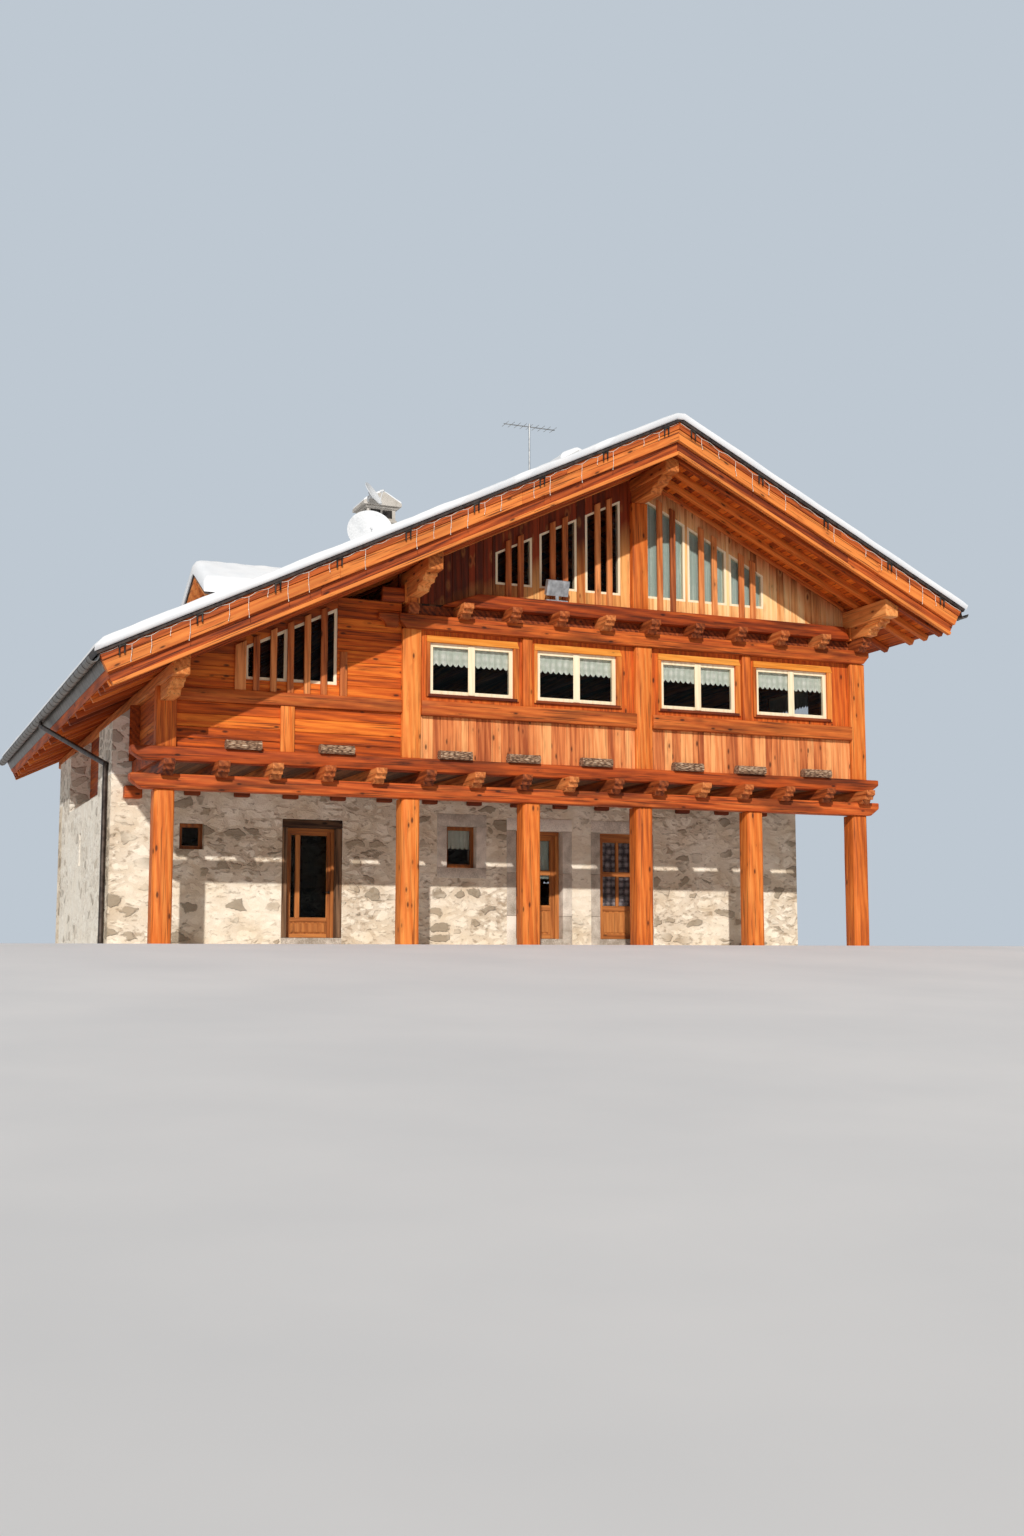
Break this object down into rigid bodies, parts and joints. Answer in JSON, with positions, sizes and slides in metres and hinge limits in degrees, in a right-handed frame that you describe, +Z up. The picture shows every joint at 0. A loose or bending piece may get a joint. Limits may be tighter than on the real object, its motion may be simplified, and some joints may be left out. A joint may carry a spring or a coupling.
{
  "type": "alpine chalet",
  "caption": "Alpine chalet: rubble stone ground floor behind a post porch, overhanging larch storey with a window band, slatted gable and a wide saddle roof.",
  "frame": {"origin": "middle of the timber storey's plan, on the ground under the ground floor slab", "axes": "+X runs east along the gable front, +Y runs back from the porch, +Z is up"},
  "size_m": [17.6492, 15.98, 12.264],
  "materials": {
    "floor_stone": "worn slab",
    "rubble": "rubble laid in rough lime plaster",
    "granite": "bush hammered granite",
    "door_wood": "oiled larch",
    "fittings_metal": "blackened iron",
    "glass": "clear glazing",
    "frame_timber": "oiled larch beams",
    "floor_boards": "sawn floor boards",
    "wall_boards": "oiled larch boards",
    "cream_wood": "pale varnished fir",
    "soffit_boards": "oiled larch boards",
    "roof_sheet": "dark coated roof sheet",
    "zinc": "weathered grey metal",
    "chimney_render": "grey lime render",
    "dish_paint": "white coated metal",
    "antenna_metal": "bare metal tube",
    "bark": "split log with its bark",
    "lamp_metal": "grey coated metal"
  },
  "bodies": {
    "house": {"ground_floor": "floor_stone", "front_wall_west": "rubble", "front_wall_middle": "rubble", "front_wall_centre": "rubble", "front_wall_east": "rubble", "front_wall_head": "rubble", "back_wall": "rubble", "west_wall": "rubble", "east_wall": "rubble", "stone_surrounds": "granite", "door_sills": "granite", "door_frames": "door_wood", "hinge_pins": "fittings_metal", "ground_windows": "door_wood", "ground_glass": "glass", "porch_posts": "frame_timber", "porch_beams": "frame_timber", "carved_joists": "frame_timber", "sill_beams": "frame_timber", "timber_floors": "floor_boards", "upper_posts": "frame_timber", "rail_beams": "frame_timber", "apron_boards": "wall_boards", "band_walls": "wall_boards", "west_gable_walls": "wall_boards", "side_walls": "wall_boards", "upper_windows": "cream_wood", "upper_glass": "glass", "window_casings": "wall_boards", "window_slats": "frame_timber", "canopy_beams": "frame_timber", "canopy_infill": "frame_timber", "gable_walls": "wall_boards", "gable_windows": "cream_wood", "rake_trims": "wall_boards", "purlins": "frame_timber", "purlin_corbels": "frame_timber", "rafters": "frame_timber", "roof_deck": "soffit_boards", "roof_cover": "roof_sheet", "ridge_cap": "roof_sheet", "verge_boards": "frame_timber", "gutters": "zinc", "downpipe": "zinc", "chimneys": "chimney_render", "dormer": "wall_boards", "satellite_dish": "dish_paint", "antenna": "antenna_metal", "log_planters": "bark", "floodlight": "lamp_metal"},
    "door_west": {"door_leaf_west": "door_wood", "door_glass_west": "glass", "door_fittings_west": "fittings_metal"},
    "door_middle": {"door_leaf_middle": "door_wood", "door_glass_middle": "glass", "door_fittings_middle": "fittings_metal"},
    "door_east": {"door_leaf_east": "door_wood", "door_glass_east": "glass", "door_fittings_east": "fittings_metal"}
  },
  "joints": [
    {"name": "door_west_hinge", "type": "hinge", "parent": "house", "child": "door_west", "pos_m": [-4.291, -3.525, 0.338], "axis": [0, 0, 1], "range_deg": [0, 90]},
    {"name": "door_middle_hinge", "type": "hinge", "parent": "house", "child": "door_middle", "pos_m": [1.456, -3.525, 0.338], "axis": [0, 0, -1], "range_deg": [0, 90]},
    {"name": "door_east_hinge", "type": "hinge", "parent": "house", "child": "door_east", "pos_m": [2.464, -3.525, 0.338], "axis": [0, 0, 1], "range_deg": [0, 90]}
  ]
}
